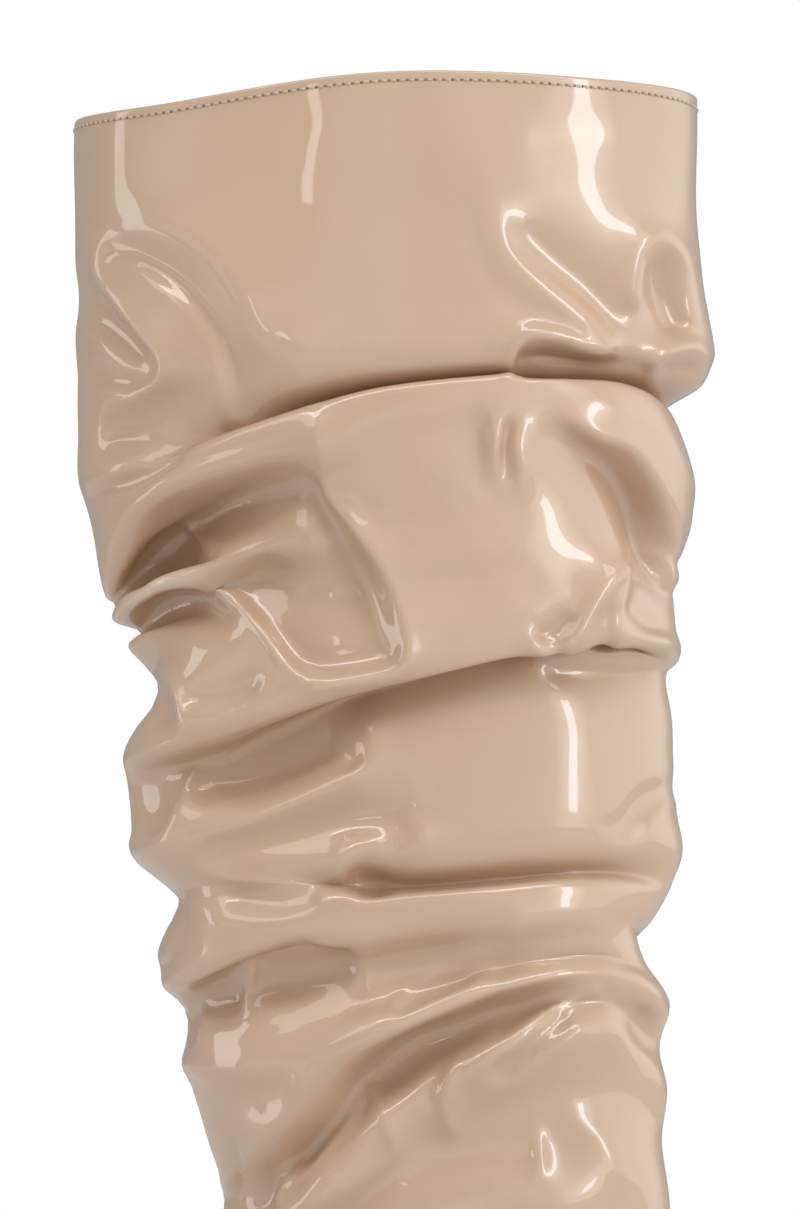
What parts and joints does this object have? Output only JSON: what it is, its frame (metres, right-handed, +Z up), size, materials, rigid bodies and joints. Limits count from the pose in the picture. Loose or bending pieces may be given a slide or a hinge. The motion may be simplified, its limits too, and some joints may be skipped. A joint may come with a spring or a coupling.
{
  "type": "slouch boot",
  "caption": "knee-high slouch boot in glossy nude patent leather, with a folded shaft, a pointed toe and a covered block heel; right boot",
  "frame": {"origin": "on the floor, under the middle of the boot's box", "axes": "+X to the toe, +Z up, -Y to the outer side of the leg"},
  "size_m": [0.2808, 0.1032, 0.4725],
  "materials": {
    "patent_leather": "high-gloss patent coating over soft leather",
    "sock_lining": "matt lining leather",
    "outsole": "smooth unit sole, lightly buffed",
    "heel_cover": "hard block covered in the same patent leather",
    "top_piece": "matt hard rubber"
  },
  "bodies": {
    "root": {"upper": "patent_leather", "insole": "sock_lining", "outsole": "outsole", "heel": "heel_cover", "top_piece": "top_piece"}
  },
  "joints": []
}
